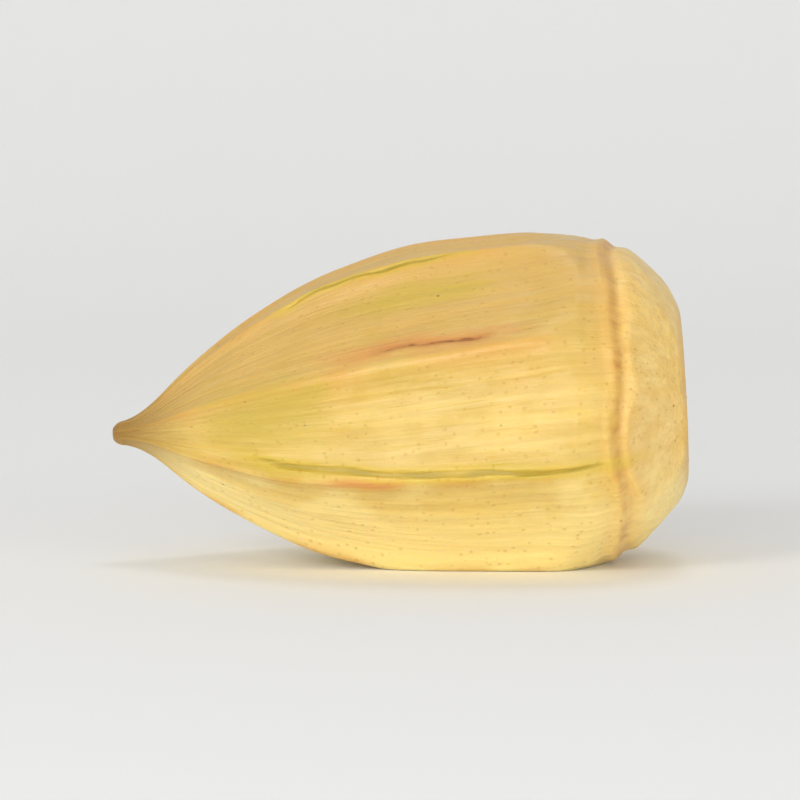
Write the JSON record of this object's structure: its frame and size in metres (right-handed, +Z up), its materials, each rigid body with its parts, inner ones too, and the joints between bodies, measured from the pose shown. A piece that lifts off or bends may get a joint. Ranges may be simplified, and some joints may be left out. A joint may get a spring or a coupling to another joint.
{
  "type": "pickled okra pod",
  "caption": "Whole pickled baby okra pod lying on its side: low ribs that taper to a short beak, a scar ring, a pared cap and a cut stem end.",
  "frame": {"origin": "middle of the footprint of the pod's bounding box, on the surface that the pod lies on", "axes": "+X along the pod from the beak to the cut stem end, +Y to the side, +Z up"},
  "size_m": [0.0256, 0.0152, 0.0145],
  "materials": {
    "pod_skin": "satin"
  },
  "bodies": {
    "root": {"okra_pod": "pod_skin"}
  },
  "joints": []
}
